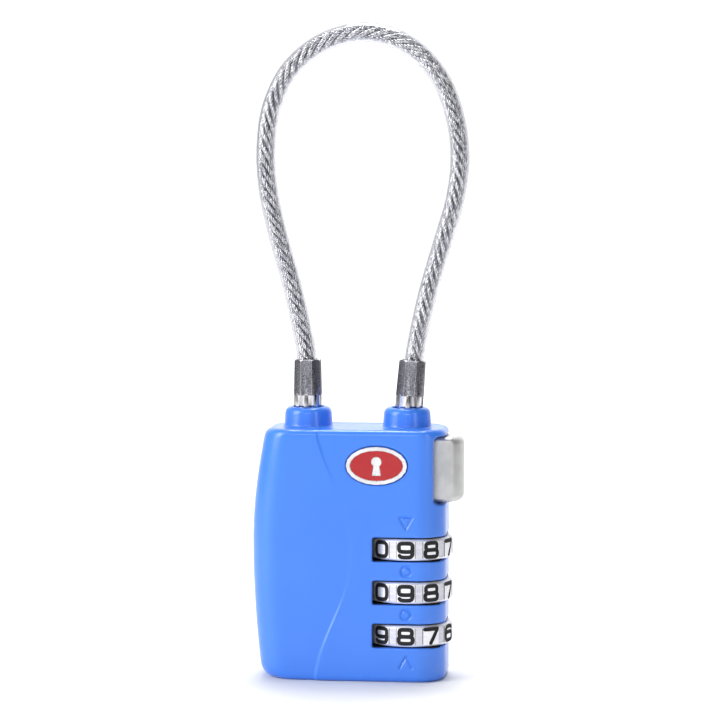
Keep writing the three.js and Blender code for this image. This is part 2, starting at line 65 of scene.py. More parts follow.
# ---------------------------------------------------------------- driving dimensions
casing_low, casing_high = node_box("front_casing")
cover_high = node_box("back_cover")[1]
HEIGHT = cover_high[2]
LEFT_END, RIGHT_END = casing_low[0], casing_high[0]
HALF_DEPTH = cover_high[1]
COLLAR_TOP = casing_high[2]
COLLAR_R = 3.8
# The bow: its middle's height and half its span, its x at the ends, and how far right its middle lies.
BOW_Z, BOW_SPAN = 20.4, 21.7
BOW_END, BOW_RISE = -4.65, 6.0
PANEL_STEP = 0.3
EDGE_R = 0.9
PLAN_R = 4.6
GAP = 0.3
MARK_DEPTH = 0.28
# Places safely outside the casing, where cutters end.
OUT_X, OUT_Y = 20, 12
# The badge's middle and its half width and half height.
BADGE = dict(x=4.9, z=33.9, w=4.75, h=2.95)

free_low, free_high = node_box("free_ferrule")
LATCH_X = (free_low[0] + free_high[0]) / 2
FERRULE_R = (free_high[0] - free_low[0]) / 2
FERRULE_TOP = free_high[2]
FERRULE_BASE = free_low[2]
FLATS_Z = FERRULE_BASE + 2.8
ANCHOR_X = 9.0
ANCHOR_LEAN = 4.5
ANCHOR_SHIFT = 0.2
CABLE_END = FERRULE_BASE + 2.4
FERRULE_BORE_R = 2.5

DIALS = [node_box(f"number_dial_{i}") for i in (1, 2, 3)]
DIAL_X = (DIALS[0][0][0] + DIALS[0][1][0]) / 2
DIAL_Y = (DIALS[0][0][1] + DIALS[0][1][1]) / 2
DIAL_R = (DIALS[0][1][0] - DIALS[0][0][0]) / 2
DIAL_HEIGHT = DIALS[0][1][2] - DIALS[0][0][2]
DIAL_Z = [(low[2] + high[2]) / 2 for low, high in DIALS]
# The digit at the front of each dial, top dial first.
SHOWN = [9, 9, 8]
SLOT_HALF = 1.9
SLOT_LEFT = 4.2
LIP_DEPTH = 0.8
POCKET_R = DIAL_R + GAP
HUB_R = 3.3
BAND_HALF = 0.62
DIGIT_W, DIGIT_H, STROKE, ENGRAVE = 1.12, 1.09, 0.315, 0.2
# The index marks beside the dials: the rings' middles, and each triangle's flat side and tip.
RINGS_Z = (17.45, 10.65)
TRIANGLES_Z = ((26.0, 23.8), (2.1, 4.3))

# The groove between front and back, the rivets' places in the back and the bores in the underside.
SEAM_Y = (4.35, 4.75)
RIVET_BOXES = [node_box(f"cover_rivet_{i}") for i in (1, 2, 3, 4)]
RIVETS = [((low[0] + high[0]) / 2, (low[2] + high[2]) / 2) for low, high in RIVET_BOXES]
KEY_BORE_R = 3.5
RESET_BORE_R = 1.75

# The button's head from its inner end to its crown, and its notch and well in the casing.
HEAD_Z = (27.95, 38.05)
HEAD_IN = 12.95
HEAD_WEB = 13.3
HEAD_FACE = 16.95
HEAD_OUT = 18.0
HEAD_CHAMFER = 0.42
HEAD_HALF = node_box("release_button")[1][1]
FLAT_HALF = HEAD_HALF - HEAD_CHAMFER
CHEEK_HALF = 2.6
NOTCH_X = 13.6
WELL_X = 11.2
CHEEK_WELL_X = 10.9
WELL_Z = (HEAD_Z[0] - GAP, HEAD_Z[1] + GAP)

# The cable's cover and its rope, and the radius inside which wire faces are painted dark, as painted
# shade with some grease.
CABLE_R = 1.55
CORE_R = 1.22
SHADE_AND_GREASE_R = 0.66


# ---------------------------------------------------------------- mesh helpers
def piece(name, verts, faces, smooth=True):
    """A new mesh object from vertices in millimetres."""
    mesh = bpy.data.meshes.new(name)
    mesh.from_pydata((np.asarray(verts, float) * MM).tolist(), [], faces)
    mesh.validate()
    obj = bpy.data.objects.new(name, mesh)
    bpy.context.scene.collection.objects.link(obj)
    if smooth:
        mesh.shade_smooth()
    return obj


def baked(obj):
    """Applies an object's modifiers to its mesh."""
    graph = bpy.context.evaluated_depsgraph_get()
    mesh = bpy.data.meshes.new_from_object(obj.evaluated_get(graph))
    obj.modifiers.clear()
    obj.data = mesh
    return obj


def combine(obj, other, operation="DIFFERENCE", merge=0.001):
    """Boolean of two closed meshes; the second one is used up. Corners nearer than merge are welded."""
    step = obj.modifiers.new("cut", "BOOLEAN")
    step.operation, step.solver, step.object = operation, "EXACT", other
    baked(obj)
    if merge:
        weld(obj, merge)
    bpy.data.objects.remove(other, do_unlink=True)
    return obj


def lathe(name, profile, centre=(0, 0), sides=96):
    """A turned piece about a vertical axis; the profile is a closed loop of radius and height."""
    verts, faces = [], []
    count = len(profile)
    for k in range(sides):
        a = 2 * math.pi * k / sides
        for r, z in profile:
            verts.append((centre[0] + r * math.cos(a), centre[1] + r * math.sin(a), z))
    for k in range(sides):
        n = (k + 1) % sides
        for i in range(count):
            j = (i + 1) % count
            faces.append((k * count + i, n * count + i, n * count + j, k * count + j))
    obj = piece(name, verts, faces)
    weld(obj)
    return obj


def weld(obj, distance=0.002):
    """Joins vertices that are nearer to each other than the distance."""
    step = obj.modifiers.new("weld", "WELD")
    step.merge_threshold = distance * MM
    baked(obj)


def block(name, x0, x1, y0, y1, z0, z1):
    """A box between two corners."""
    verts = [(x, y, z) for x in (x0, x1) for y in (y0, y1) for z in (z0, z1)]
    faces = [(0, 1, 3, 2), (4, 6, 7, 5), (0, 4, 5, 1), (2, 3, 7, 6), (0, 2, 6, 4), (1, 5, 7, 3)]
    return piece(name, verts, faces, smooth=False)


def prism(name, points, y0, y1):
    """A front-view outline, run from y0 to y1. The points go anticlockwise seen from the front."""
    n = len(points)
    verts = [(x, y0, z) for x, z in points] + [(x, y1, z) for x, z in points]
    faces = [tuple(range(n)), tuple(reversed(range(n, 2 * n)))]
    faces += [((i + 1) % n, i, n + i, n + (i + 1) % n) for i in range(n)]
    return piece(name, verts, faces, smooth=False)


def slab(name, points, z0, z1):
    """A plan outline, raised from z0 to z1. The points go anticlockwise seen from above."""
    n = len(points)
    verts = [(x, y, z) for z in (z0, z1) for x, y in points]
    faces = [tuple(reversed(range(n))), tuple(range(n, 2 * n))]
    faces += [(i, (i + 1) % n, n + (i + 1) % n, n + i) for i in range(n)]
    return piece(name, verts, faces, smooth=False)


def bevel(obj, width, segments=2, angle=35):
    """Rounds the edges that turn by more than the angle."""
    step = obj.modifiers.new("bevel", "BEVEL")
    step.width, step.segments, step.limit_method = width * MM, segments, "ANGLE"
    step.angle_limit = math.radians(angle)
    return baked(obj)


def shade(obj, angle=35):
    """Smooth shading that keeps the corners sharper than the angle."""
    obj.data.shade_smooth()
    obj.data.set_sharp_from_angle(angle=math.radians(angle))


def move(obj, matrix):
    """Moves a piece's mesh, so the object itself stays at the origin."""
    obj.data.transform(matrix)


def shift(x, y, z):
    """The matrix of a shift in millimetres."""
    return Matrix.Translation((x * MM, y * MM, z * MM))


def turn_about(axis, degrees):
    """The matrix of a turn about an axis through the origin."""
    return Matrix.Rotation(math.radians(degrees), 4, axis)


def corners_of(x0, x1, y0, y1, r):
    """Centres and start angles of a rounded rectangle's four corners, anticlockwise from x1, y0."""
    return [(x1 - r, y0 + r, -90), (x1 - r, y1 - r, 0), (x0 + r, y1 - r, 90), (x0 + r, y0 + r, 180)]


def arc(cx, cz, rx, rz, start, stop, count=9, square=1.0):
    """Points on an oval. Below 1, square pushes them towards the oval's corners."""
    pts = []
    for a in np.radians(np.linspace(start, stop, count)):
        c, s = math.cos(a), math.sin(a)
        x = cx + rx * math.copysign(abs(c) ** square, c)
        z = cz + rz * math.copysign(abs(s) ** square, s)
        pts.append((x, z))
    return pts


# ---------------------------------------------------------------- materials
def principled(name, **inputs):
    """A new material with fixed shader inputs; the rest of it is linked to the shader by the caller."""
    mat = bpy.data.materials.new(name)
    mat.use_nodes = True
    nodes = mat.node_tree.nodes
    shader = nodes["Principled BSDF"]
    for key, value in inputs.items():
        shader.inputs[key.replace("_", " ")].default_value = value
    return mat, nodes, mat.node_tree.links, shader


def noise(nodes, links, scale, detail=4.0, stretch=(1, 1, 1)):
    """A noise factor in the piece's own space; scale counts its grains per metre."""
    where = nodes.new("ShaderNodeTexCoord")
    mapping = nodes.new("ShaderNodeMapping")
    mapping.inputs["Scale"].default_value = stretch
    texture = nodes.new("ShaderNodeTexNoise")
    texture.inputs["Scale"].default_value = scale
    texture.inputs["Detail"].default_value = detail
    links.new(where.outputs["Object"], mapping.inputs["Vector"])
    links.new(mapping.outputs["Vector"], texture.inputs["Vector"])
    return texture.outputs["Fac"]


def ramp(nodes, links, factor, low, high, start=0.35, stop=0.65):
    """Turns a noise factor into a colour between two colours."""
    step = nodes.new("ShaderNodeValToRGB")
    step.color_ramp.elements[0].position = start
    step.color_ramp.elements[1].position = stop
    step.color_ramp.elements[0].color = (*low, 1)
    step.color_ramp.elements[1].color = (*high, 1)
    links.new(factor, step.inputs["Fac"])
    return step.outputs["Color"]


def spread(nodes, links, factor, low, high):
    """Turns a noise factor into a number between low and high."""
    step = nodes.new("ShaderNodeMapRange")
    step.inputs["To Min"].default_value = low
    step.inputs["To Max"].default_value = high
    links.new(factor, step.inputs["Value"])
    return step.outputs["Result"]


def rough_bump(nodes, links, shader, factor, strength, distance):
    """Makes the surface uneven by the noise factor."""
    step = nodes.new("ShaderNodeBump")
    step.inputs["Strength"].default_value = strength
    step.inputs["Distance"].default_value = distance
    links.new(factor, step.inputs["Height"])
    links.new(step.outputs["Normal"], shader.inputs["Normal"])


def paint(name, dark, light, roughness, coat):
    """Paint or enamel that drifts between two colours, under a clear coat of the given weight."""
    mat, nodes, links, shader = principled(name, Coat_Weight=coat, Coat_Roughness=0.12)
    broad = noise(nodes, links, 55, 2)
    links.new(ramp(nodes, links, broad, dark, light, 0.2, 0.8), shader.inputs["Base Color"])
    links.new(spread(nodes, links, noise(nodes, links, 900, 3), *roughness), shader.inputs["Roughness"])
    rough_bump(nodes, links, shader, noise(nodes, links, 700, 2), 0.05, 0.00005)
    return mat


def metal(name, dark, light, roughness, grain=(1, 1, 1), scale=800, bump=0.15, metallic=1.0,
          edge=1.0):
    """A metal; below 1, edge dims what it mirrors at grazing angles."""
    mat, nodes, links, shader = principled(name, Metallic=metallic, Specular_Tint=(edge, edge, edge, 1))
    fine = noise(nodes, links, scale, 5, grain)
    cloud = noise(nodes, links, scale * 0.6, 4, grain)
    links.new(ramp(nodes, links, cloud, dark, light, 0.4, 0.6), shader.inputs["Base Color"])
    links.new(spread(nodes, links, fine, *roughness), shader.inputs["Roughness"])
    rough_bump(nodes, links, shader, fine, bump, 0.00003)
    return mat


BLUE = paint("casing_blue", (0.04, 0.2, 0.80), (0.05, 0.225, 0.87), (0.26, 0.34), 0.28)
# Bright nickel whose colour runs in upright streaks from dark to bright, as painted reflections.
CHROME = metal("bright_nickel", (0.16, 0.16, 0.18), (0.92, 0.92, 0.95), (0.08, 0.2),
               (1, 1, 0.12), 1600, 0.2, edge=0.2)
# Painted dark reflection for the ferrules' eight flats.
NICKEL_DARK_REFLECTION = metal("nickel_painted_dark_reflection", (0.13, 0.13, 0.15), (0.36, 0.36, 0.40), (0.24, 0.36),
                    scale=9000, bump=0.3, edge=0.3)
# Painted highlight for the edges between the ferrules' flats.
NICKEL_EDGE_HIGHLIGHT = metal("painted_edge_highlight", (0.80, 0.80, 0.82), (0.95, 0.95, 0.97), (0.20, 0.30), metallic=0.4)
DIAL_SILVER = metal("dial_silver", (0.84, 0.84, 0.89), (0.92, 0.92, 0.95), (0.30, 0.42),
                    (1, 1, 4), bump=0.1, metallic=0.4)
# The flats between the digits: a darker copy of the dial's silver, as painted shade.
DIAL_FLAT_SHADE = metal("dial_flat_painted_shade", (0.64, 0.64, 0.73), (0.74, 0.74, 0.81), (0.35, 0.5),
                  (1, 1, 4), bump=0.1, metallic=0.4)
INK = paint("dial_ink", (0.002, 0.002, 0.004), (0.008, 0.008, 0.011), (0.6, 0.75), 0.0)
# Painted shade for the insides of the dial windows, the button's well and the key bore.
RECESS_SHADE = paint("painted_recess_shade", (0.004, 0.005, 0.008), (0.012, 0.013, 0.018), (0.6, 0.75), 0.0)
SATIN = metal("satin_nickel", (0.55, 0.55, 0.55), (0.61, 0.61, 0.61), (0.30, 0.40),
              bump=0.1, metallic=0.6)
BADGE_SILVER = metal("badge_silver", (0.76, 0.76, 0.78), (0.88, 0.88, 0.90), (0.20, 0.32),
                     bump=0.1, metallic=0.5)
STEEL = metal("steel", (0.45, 0.45, 0.47), (0.62, 0.62, 0.64), (0.25, 0.4))
# Steel wire whose colour is speckled light and dark, as painted glints and shade.
WIRE = metal("wire", (0.52, 0.52, 0.56), (1.0, 1.0, 1.0), (0.16, 0.3), (1, 1, 0.25), 5000)
# Painted shade, with some grease, for the wire faces deep in the rope.
WIRE_SHADE_AND_GREASE = metal("wire_shade_and_grease", (0.03, 0.03, 0.04), (0.12, 0.12, 0.14), (0.4, 0.6), scale=1500)
BRASS = metal("brass", (0.60, 0.42, 0.16), (0.75, 0.56, 0.25), (0.25, 0.4))
SPRING = metal("spring_steel", (0.30, 0.30, 0.32), (0.42, 0.42, 0.45), (0.3, 0.4))
ENAMEL = paint("red_enamel", (0.36, 0.003, 0.008), (0.50, 0.006, 0.012), (0.16, 0.24), 0.35)


def clear_vinyl():
    """Clear plastic with painted shade at its rims: its colour darkens where it is seen at a slant."""
    mat, nodes, links, shader = principled("clear_vinyl", Transmission_Weight=1.0, IOR=1.42)
    links.new(spread(nodes, links, noise(nodes, links, 400, 3), 0.02, 0.07), shader.inputs["Roughness"])
    slant = nodes.new("ShaderNodeLayerWeight").outputs["Facing"]
    # Painted shade: darker colour towards the slanting rims.
    tint = ramp(nodes, links, slant, (0.95, 0.95, 0.97), (0.30, 0.31, 0.36), 0.5, 0.75)
    links.new(tint, shader.inputs["Base Color"])
    haze = nodes.new("ShaderNodeVolumeAbsorption")
    haze.inputs["Color"].default_value = (0.45, 0.45, 0.50, 1)
    haze.inputs["Density"].default_value = 380
    links.new(haze.outputs["Volume"], nodes["Material Output"].inputs["Volume"])
    return mat


VINYL = clear_vinyl()


def paint_floor():
    """A pale, nearly white floor."""
    mat, nodes, links, shader = principled("pale_floor", Specular_IOR_Level=0.2)
    pale = ramp(nodes, links, noise(nodes, links, 30, 3), (0.82, 0.82, 0.82), (0.86, 0.86, 0.86))
    links.new(pale, shader.inputs["Base Color"])
    links.new(spread(nodes, links, noise(nodes, links, 300, 3), 0.55, 0.75), shader.inputs["Roughness"])
    return mat


def wear(obj, *mats):
    """Gives a piece these materials and no others."""
    obj.data.materials.clear()
    for mat in mats:
        obj.data.materials.append(mat)


# ---------------------------------------------------------------- camera
def make_camera():
    """In front and a little to the right, higher than the aim, looking slightly down."""
    azimuth, distance, eye_height, width_at_aim = math.radians(6.5), 446.0, 83.3, 113.03
    aim = Vector((1.55, 0, 49.8))
    eye = Vector((distance * math.sin(azimuth) + aim.x, -distance * math.cos(azimuth), eye_height))
    data = bpy.data.cameras.new("camera")
    data.sensor_width = 36
    data.lens = 36 * (aim - eye).length / width_at_aim
    data.clip_start, data.clip_end = 0.01, 10
    camera = bpy.data.objects.new("camera", data)
    camera.location = eye * MM
    camera.rotation_euler = (aim - eye).to_track_quat("-Z", "Y").to_euler()
    bpy.context.scene.collection.objects.link(camera)
    bpy.context.scene.camera = camera


make_camera()

# ---------------------------------------------------------------- cable
LEAN = math.tan(math.radians(ANCHOR_LEAN))
ROUTE = [
    (LATCH_X, CABLE_END), (LATCH_X, 47.3), (-6.95, 51.0), (-7.6, 54.5), (-9.2, 61.5), (-11.4, 69.4),
    (-12.9, 76.3), (-13.3, 82.5), (-12.4, 89.3), (-9.4, 95.3), (-4.3, 99.4), (2.0, 101.0),
    (8.4, 99.4), (13.3, 95.0), (16.0, 89.3), (17.2, 82.0), (16.5, 75.3), (14.6, 68.6),
    (12.4, 61.1), (10.8, 54.0), (ANCHOR_X + 0.25 + (47.5 - FERRULE_BASE) * LEAN, 47.5),
    (ANCHOR_X + ANCHOR_SHIFT + (CABLE_END - FERRULE_BASE) * LEAN, CABLE_END),
]


def smooth_route(step=0.25):
    """Points along a centripetal curve through the route, evenly spaced."""
    pts = np.array(ROUTE)
    pts = np.vstack([2 * pts[0] - pts[1], pts, 2 * pts[-1] - pts[-2]])
    fine = []
    for p0, p1, p2, p3 in zip(pts, pts[1:], pts[2:], pts[3:]):
        t0 = 0.0
        t1 = t0 + np.linalg.norm(p1 - p0) ** 0.5
        t2 = t1 + np.linalg.norm(p2 - p1) ** 0.5
        t3 = t2 + np.linalg.norm(p3 - p2) ** 0.5
        t = np.linspace(t1, t2, 40, endpoint=False)[:, None]
        a1 = (t1 - t) / (t1 - t0) * p0 + (t - t0) / (t1 - t0) * p1
        a2 = (t2 - t) / (t2 - t1) * p1 + (t - t1) / (t2 - t1) * p2
        a3 = (t3 - t) / (t3 - t2) * p2 + (t - t2) / (t3 - t2) * p3
        b1 = (t2 - t) / (t2 - t0) * a1 + (t - t0) / (t2 - t0) * a2
        b2 = (t3 - t) / (t3 - t1) * a2 + (t - t1) / (t3 - t1) * a3
        fine.append((t2 - t) / (t2 - t1) * b1 + (t - t1) / (t2 - t1) * b2)
    line = np.vstack([*fine, pts[-2][None]])
    run = np.concatenate([[0], np.cumsum(np.linalg.norm(np.diff(line, axis=0), axis=1))])
    s = np.linspace(0, run[-1], int(run[-1] / step) + 1)
    x, z = np.interp(s, run, line[:, 0]), np.interp(s, run, line[:, 1])
    centre = np.stack([x, np.zeros_like(x), z], 1)
    along = np.gradient(centre, axis=0)
    along /= np.linalg.norm(along, axis=1, keepdims=True)
    side = np.stack([along[:, 2], np.zeros_like(x), -along[:, 0]], 1)
    return s, centre, side


def tube_grid(centres, side, radius, sides):
    """Rings of vertices round a line that lies in an upright plane."""
    angle = 2 * np.pi * np.arange(sides) / sides
    across = np.cos(angle)[None, :, None] * side[:, None, :]
    depth = np.sin(angle)[None, :, None] * np.array([0, 1, 0])[None, None, :]
    return (centres[:, None, :] + radius * (across + depth)).reshape(-1, 3)


def tube_faces(rings, sides, first=0, flip=False):
    """The quads between a tube's rings; first is its first vertex, and flip turns them inwards."""
    faces = []
    for k in range(rings - 1):
        for i in range(sides):
            j = (i + 1) % sides
            quad = (k * sides + i, k * sides + j, (k + 1) * sides + j, (k + 1) * sides + i)
            faces.append(tuple(first + q for q in (reversed(quad) if flip else quad)))
    return faces


def make_jacket(s, centre, side):
    """A clear tube with a thin wall, closed by a ring at each end."""
    sides, n = 28, len(s)
    inner_r = CORE_R + 0.06
    verts = np.vstack([tube_grid(centre, side, r, sides) for r in (CABLE_R, inner_r)])
    inner = n * sides
    faces = tube_faces(n, sides) + tube_faces(n, sides, inner, flip=True)
    for k, turn in ((0, 1), (n - 1, -1)):
        for i in range(sides):
            j = (i + 1) % sides
            quad = (k * sides + i, inner + k * sides + i, inner + k * sides + j, k * sides + j)
            faces.append(quad if turn > 0 else tuple(reversed(quad)))
    return piece("cable_cover", verts, faces)


def make_wires(s, centre, side):
    """Wire rope: six strands of six wires round a core strand, painted dark where the wires lie deep, as
    painted shade with some grease.
    """
    strand_orbit, wire_orbit, wire_r, core_strand_r = 0.80, 0.275, 0.135, 0.4
    strand_lay, wire_lay = 11.0, 3.8
    up = np.array([0, 1, 0])
    verts, faces, deep, sides = [], [], [], 5
    for strand in range(7):
        orbit = 0.0 if strand == 6 else strand_orbit
        phase = 2 * np.pi * (strand / 6 - s / strand_lay)[:, None]
        middle = centre + orbit * (np.cos(phase) * side + np.sin(phase) * up)
        for wire in range(6 if strand < 6 else 1):
            turn = 2 * np.pi * (wire / 6 + s / wire_lay)[:, None]
            offset = 0 if strand == 6 else wire_orbit
            line = middle + offset * (np.cos(turn) * side + np.sin(turn) * up)
            radius = wire_r if strand < 6 else core_strand_r
            first = len(verts) * len(s) * sides
            last = first + (len(s) - 1) * sides
            faces += tube_faces(len(s), sides, first)
            faces += [tuple(range(first, first + sides))[::-1], tuple(range(last, last + sides))]
            grid = tube_grid(line, side, radius, sides)
            verts.append(grid)
            from_middle = np.linalg.norm(grid.reshape(len(s), sides, 3) - centre[:, None, :], axis=2)
            face_r = (from_middle + np.roll(from_middle, -1, axis=1))[:-1] / 2
            # Faces near the rope's middle get the painted shade and grease.
            deep += [(face_r < SHADE_AND_GREASE_R).ravel(), np.zeros(2, bool)]
    obj = piece("cable_wires", np.vstack(verts), faces)
    wear(obj, WIRE, WIRE_SHADE_AND_GREASE)
    obj.data.polygons.foreach_set("material_index", np.concatenate(deep).astype(np.int32))
    return obj


run, centre_line, side_line = smooth_route()
jacket = make_jacket(run, centre_line, side_line)
wires = make_wires(run, centre_line, side_line)
wear(jacket, VINYL)
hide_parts("cable_jacket")
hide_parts("cable_core")
for cable_piece in (jacket, wires):
    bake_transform(cable_piece)


# ---------------------------------------------------------------- casing
def rounded_inset(gap, r):
    """How far a rounded edge of radius r stands in, at a given distance from the face beside it."""
    return 0.0 if gap >= r else r - math.sqrt(r * r - (r - gap) ** 2)


def left_at(z, widest=22, above=13.6):
    """The left end bulges: it is furthest out at the height widest, and draws in above and below."""
    draw_in = 1.35 * ((z - widest) / above) ** 1.8 if z > widest else 1.4 * ((widest - z) / widest) ** 2
    return LEFT_END + draw_in


def casing_block(sides=20, shrink=0.0):
    """The casing's outside as a stack of rounded rectangles, or a little smaller all round."""
    rim = [EDGE_R * (1 - math.cos(t * math.pi / 2 / 8)) for t in range(9)]
    low = rim + [1.1, 1.4, 1.8, 2.2, 3, 4]
    levels = low + [5 + 1.0 * k for k in range(29)] + [HEIGHT - z for z in reversed(low)]
    verts, faces = [], []
    for z in levels:
        gap = min(z, HEIGHT - z)
        level = min(max(z, shrink), HEIGHT - shrink)
        inset = rounded_inset(gap, EDGE_R) + shrink
        x0 = left_at(z) + rounded_inset(gap, 2.2 if z < HEIGHT / 2 else 1.2) + shrink
        x1 = RIGHT_END - rounded_inset(gap, 1.0) - shrink
        y0, y1, r = -HALF_DEPTH + inset, HALF_DEPTH - inset, PLAN_R - inset
        for cx, cy, start in corners_of(x0, x1, y0, y1, r):
            for k in range(sides):
                a = math.radians(start + 90 * k / (sides - 1))
                verts.append((cx + r * math.cos(a), cy + r * math.sin(a), level))
    n = 4 * sides
    for k in range(len(levels) - 1):
        for i in range(n):
            j = (i + 1) % n
            faces.append((k * n + i, k * n + j, (k + 1) * n + j, (k + 1) * n + i))
    faces.append(tuple(reversed(range(n))))
    faces.append(tuple(range((len(levels) - 1) * n, len(levels) * n)))
    return piece("casing_front", verts, faces)


def collar(x):
    """A raised boss round a ferrule: a fat rounded rim, a slight taper and a flare at its foot."""
    rim, flare, taper = 1.05, 0.45, 0.12
    foot = HEIGHT - 0.1
    profile = [(0, HEIGHT - 1.0), (COLLAR_R + flare, HEIGHT - 1.0), (COLLAR_R + flare, foot)]
    profile += [(COLLAR_R + flare * (1 - math.sin(t)), foot + flare * (1 - math.cos(t)))
                for t in np.linspace(0.2, math.pi / 2, 6)]
    profile += [(COLLAR_R - taper - rim * (1 - math.cos(t)), COLLAR_TOP - rim * (1 - math.sin(t)))
                for t in np.linspace(0, math.pi / 2, 11)]
    profile += [(0, COLLAR_TOP)]
    return lathe("collar", profile, (x, 0), 72)


def cylinder(r, z0, z1, x, y, sides=96):
    """An upright cylinder about x, y."""
    return lathe("cylinder", [(0, z0), (r, z0), (r, z1), (0, z1)], (x, y), sides)


def ring_mark(z, outer=0.95, inner=0.55):
    """A ring-shaped cutter, sunk into the front face."""
    cutter = cylinder(outer, -1, MARK_DEPTH, 0, 0, 40)
    combine(cutter, cylinder(inner, -2, 2, 0, 0, 40))
    move(cutter, shift(DIAL_X, -HALF_DEPTH, z) @ turn_about("X", -90))
    return cutter


def triangle_mark(flat, tip, half=1.25, line=0.5):
    """A cutter for the outline of a triangle, from its flat side's height to its tip's."""
    def corners(margin):
        up = math.copysign(1, tip - flat)
        level = flat + 0.6 * up * margin
        pts = [(DIAL_X - half + margin, level), (DIAL_X + half - margin, level),
               (DIAL_X, tip - 1.2 * up * margin)]
        return pts if up > 0 else pts[::-1]
    cutter = prism("mark", corners(0), -HALF_DEPTH - 1, -HALF_DEPTH + MARK_DEPTH)
    return combine(cutter, prism("island", corners(line), -HALF_DEPTH - 2, 0))


def badge_oval(grow, count=72):
    """The badge's outline, a little larger all round."""
    w, h = BADGE["w"] + grow, BADGE["h"] + grow
    return [(BADGE["x"] + w * math.cos(a), BADGE["z"] + h * math.sin(a))
            for a in np.linspace(0, 2 * math.pi, count, endpoint=False)]


def notch_cutter():
    """The notch in the right end, open to the front and back, with rounded inner corners."""
    (z0, z1), r = WELL_Z, 0.9
    upper = arc(NOTCH_X + r, z1 - r, r, r, 90, 180)
    lower = arc(NOTCH_X + r, z0 + r, r, r, 180, 270)
    return prism("notch", [(OUT_X, z0), (OUT_X, z1), *upper, *lower], -OUT_Y, OUT_Y)


def bow_at(z):
    """The dial panel's left edge: furthest right at BOW_Z, curving out to the left above and below."""
    t = np.clip(np.abs(z - BOW_Z) / BOW_SPAN, 0, 1)
    return BOW_END + BOW_RISE * (0.5 + 0.5 * np.cos(math.pi * t))


def shape_front(obj):
    """Steps the front at the bow: left of it, the front lies deeper at the bottom, higher at the top."""
    mesh = obj.data
    co = np.empty(len(mesh.vertices) * 3)
    mesh.vertices.foreach_get("co", co)
    co = co.reshape(-1, 3) / MM
    x, y, z = co.T
    past = bow_at(z) - x
    depth = np.interp(z, [0, 10, 20, 29, 36, HEIGHT],
                      [PANEL_STEP, 0.8 * PANEL_STEP, 0.09, 0.0, -0.12, -0.14])
    width = np.interp(z, [0, 12, 20, 29, 33, HEIGHT], [0.45, 0.5, 0.9, 0.7, 0.3, 0.25])
    step = np.clip(past / width, 0, 1)
    step = step * step * (3 - 2 * step)
    front = np.clip((-y - 3.0) / 3.2, 0, 1)
    co[:, 1] = y + depth * step * front * front * (3 - 2 * front)
    mesh.vertices.foreach_set("co", (co * MM).ravel())
    mesh.update()


def dial_pocket(z):
    """The round room of one dial with its window, round a hub that stays."""
    low, high = z - SLOT_HALF, z + SLOT_HALF
    pocket = cylinder(POCKET_R, low, high, DIAL_X, DIAL_Y)
    combine(pocket, block("window", SLOT_LEFT, OUT_X, -OUT_Y, DIAL_Y, low, high), "UNION")
    return combine(pocket, cylinder(HUB_R, z - 3, z + 3, DIAL_X, DIAL_Y))


def button_well():
    """The well behind the button's head, a little deeper behind its cheeks than in the middle."""
    outer, inner = HEAD_HALF + GAP, CHEEK_HALF - GAP
    back = [(NOTCH_X + 1, outer), (CHEEK_WELL_X, outer), (CHEEK_WELL_X, inner), (WELL_X, inner)]
    return slab("well", back + [(x, -y) for x, y in reversed(back)], *WELL_Z)


def seam_groove(depth=0.34):
    """The groove round the casing where its front and back meet."""
    band = block("seam", -OUT_X, OUT_X, SEAM_Y[0], SEAM_Y[1], -1, HEIGHT + 0.01)
    return combine(band, casing_block(shrink=depth))


def rivet_well(x, z, r=1.6, floor=6.1):
    """The round recess of one rivet in the back."""
    cutter = cylinder(r, floor, HALF_DEPTH + 1, 0, 0)
    move(cutter, shift(x, 0, z) @ turn_about("X", -90))
    return cutter


def make_casing(voxel=0.13):
    """The front casing and the back cover as one evenly meshed skin, with soft edges."""
    casing = casing_block()
    for x in (LATCH_X + 0.1, ANCHOR_X):
        combine(casing, collar(x), "UNION")
        combine(casing, cylinder(FERRULE_BORE_R, FERRULE_BASE - GAP, 50, x, 0))
    for z in DIAL_Z:
        combine(casing, dial_pocket(z))
    combine(casing, notch_cutter())
    combine(casing, button_well())
    combine(casing, cylinder(KEY_BORE_R, -1, 6, LATCH_X, 0))
    combine(casing, cylinder(RESET_BORE_R, -1, 2, DIAL_X, DIAL_Y))
    for z in RINGS_Z:
        combine(casing, ring_mark(z))
    for flat, tip in TRIANGLES_Z:
        combine(casing, triangle_mark(flat, tip))
    combine(casing, prism("recess", badge_oval(0.15), -HALF_DEPTH - 1, -HALF_DEPTH + 0.5))
    combine(casing, seam_groove())
    for x, z in RIVETS:
        combine(casing, rivet_well(x, z))
    step = casing.modifiers.new("even", "REMESH")
    step.mode, step.voxel_size = "VOXEL", voxel * MM
    baked(casing)
    shape_front(casing)
    step = casing.modifiers.new("soften", "SMOOTH")
    step.factor, step.iterations = 0.5, 4
    baked(casing)
    casing.data.shade_smooth()
    # Blue paint outside; the recesses get the painted shade.
    wear(casing, BLUE, RECESS_SHADE)
    paint_recess_shade(casing)
    return casing


